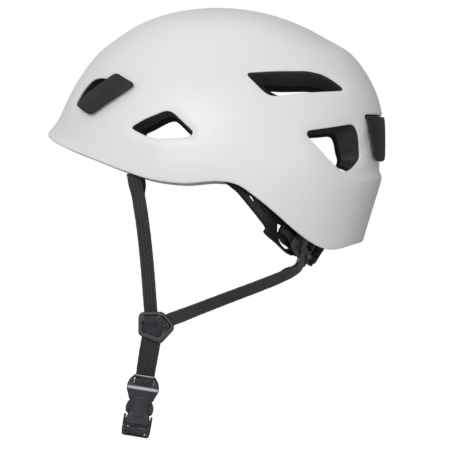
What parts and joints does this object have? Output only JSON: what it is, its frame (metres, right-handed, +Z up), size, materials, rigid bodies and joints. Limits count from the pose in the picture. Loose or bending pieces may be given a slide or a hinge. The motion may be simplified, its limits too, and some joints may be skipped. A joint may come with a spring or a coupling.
{
  "type": "climbing helmet",
  "caption": "Climbing helmet: hard white shell on a foam liner, with lamp clips, a dial-adjusted rear cradle, webbing harness and side-release chin buckle.",
  "frame": {"origin": "middle of the head opening, level with the side rim", "axes": "-X points to the brow, +X to the nape, -Y to the wearer's left, +Z up through the crown"},
  "size_m": [0.2934, 0.2208, 0.372],
  "materials": {
    "shell_plastic": "satin injection-moulded white plastic",
    "foam": "black moulded bead foam",
    "clip_plastic": "fine-textured black plastic",
    "cradle_plastic": "satin black plastic",
    "fitting_plastic": "satin black plastic",
    "buckle_plastic": "fine-textured black plastic",
    "webbing": "woven black polyester webbing",
    "pad_fabric": "brushed knit over foam",
    "steel": "bright steel"
  },
  "bodies": {
    "shell": {"outer_shell": "shell_plastic", "foam_liner": "foam", "brow_pad": "pad_fabric", "crown_pad": "pad_fabric", "temple_pad_left": "pad_fabric", "temple_pad_right": "pad_fabric", "pivot_stud_left": "fitting_plastic", "pivot_stud_right": "fitting_plastic", "front_anchor_left": "fitting_plastic", "front_anchor_right": "fitting_plastic", "rear_anchor_left": "fitting_plastic", "rear_anchor_right": "fitting_plastic", "front_strap_left": "webbing", "front_strap_right": "webbing", "rear_strap_left": "webbing", "rear_strap_right": "webbing", "strap_divider_left": "fitting_plastic", "strap_divider_right": "fitting_plastic", "lower_strap_left": "webbing", "chin_strap": "webbing", "buckle_socket": "buckle_plastic"},
    "cradle": {"cradle_yoke": "cradle_plastic", "cradle_pad": "pad_fabric", "dial_cover": "cradle_plastic", "cover_screws": "steel", "detent_spring": "steel"},
    "dial": {"dial_knob": "cradle_plastic", "dial_pinion": "cradle_plastic", "dial_screw": "steel"},
    "arm_left": {"headband_arm_left": "cradle_plastic"},
    "arm_right": {"headband_arm_right": "cradle_plastic"},
    "front_clip_left": {"front_clip_left": "clip_plastic"},
    "front_clip_right": {"front_clip_right": "clip_plastic"},
    "rear_clip_left": {"rear_clip_left": "clip_plastic"},
    "rear_clip_right": {"rear_clip_right": "clip_plastic"},
    "buckle_insert": {"buckle_insert": "buckle_plastic", "strap_keeper": "fitting_plastic"},
    "prong_left": {"buckle_prong_left": "buckle_plastic"},
    "prong_right": {"buckle_prong_right": "buckle_plastic"}
  },
  "joints": [
    {"name": "cradle_tilt", "type": "hinge", "parent": "shell", "child": "cradle", "pos_m": [-0.007, 0, 0.016], "axis": [0, -1, 0], "range_deg": [-8, 16], "deforming": ["rear_strap_left", "rear_strap_right"]},
    {"name": "dial_turn", "type": "hinge", "parent": "cradle", "child": "dial", "pos_m": [0.07933, 0, -0.05047], "axis": [0.866, 0, -0.5], "range_deg": [-45, 45]},
    {"name": "arm_left_slide", "type": "slide", "parent": "cradle", "child": "arm_left", "axis": [0, -1, 0], "range_m": [-0.004, 0.004]},
    {"name": "arm_right_slide", "type": "slide", "parent": "cradle", "child": "arm_right", "axis": [0, 1, 0], "range_m": [-0.004, 0.004]},
    {"name": "front_clip_left_flex", "type": "hinge", "parent": "shell", "child": "front_clip_left", "pos_m": [-0.10552, -0.06482, 0.07874], "axis": [-0.7276, 0.3918, -0.563], "range_deg": [0, 6], "stiffness_Nm_per_rad": 0.4},
    {"name": "front_clip_right_flex", "type": "hinge", "parent": "shell", "child": "front_clip_right", "pos_m": [-0.10552, 0.06482, 0.07874], "axis": [0.7276, 0.3918, 0.563], "range_deg": [0, 6], "stiffness_Nm_per_rad": 0.4},
    {"name": "rear_clip_left_flex", "type": "hinge", "parent": "shell", "child": "rear_clip_left", "pos_m": [0.13021, -0.03466, 0.05748], "axis": [-0.3525, -0.9358, -0.0004], "range_deg": [0, 6], "stiffness_Nm_per_rad": 0.4},
    {"name": "rear_clip_right_flex", "type": "hinge", "parent": "shell", "child": "rear_clip_right", "pos_m": [0.13021, 0.03466, 0.05748], "axis": [0.3525, -0.9358, 0.0004], "range_deg": [0, 6], "stiffness_Nm_per_rad": 0.4},
    {"name": "buckle_slide", "type": "slide", "parent": "shell", "child": "buckle_insert", "axis": [-0.1616, 0, -0.9869], "range_m": [0, 0.03], "deforming": ["chin_strap"]},
    {"name": "prong_left_squeeze", "type": "hinge", "parent": "buckle_insert", "child": "prong_left", "pos_m": [-0.07934, -0.05, -0.20067], "axis": [0, 1, 0], "range_deg": [0, 8], "stiffness_Nm_per_rad": 0.05},
    {"name": "prong_right_squeeze", "type": "hinge", "parent": "buckle_insert", "child": "prong_right", "pos_m": [-0.06671, -0.05, -0.20274], "axis": [0, -1, 0], "range_deg": [0, 8], "stiffness_Nm_per_rad": 0.05}
  ],
  "couplings": [
    {"joint": "arm_left_slide", "follows": "dial_turn", "m_per_rad": 0.005},
    {"joint": "arm_right_slide", "follows": "dial_turn", "m_per_rad": 0.005}
  ]
}
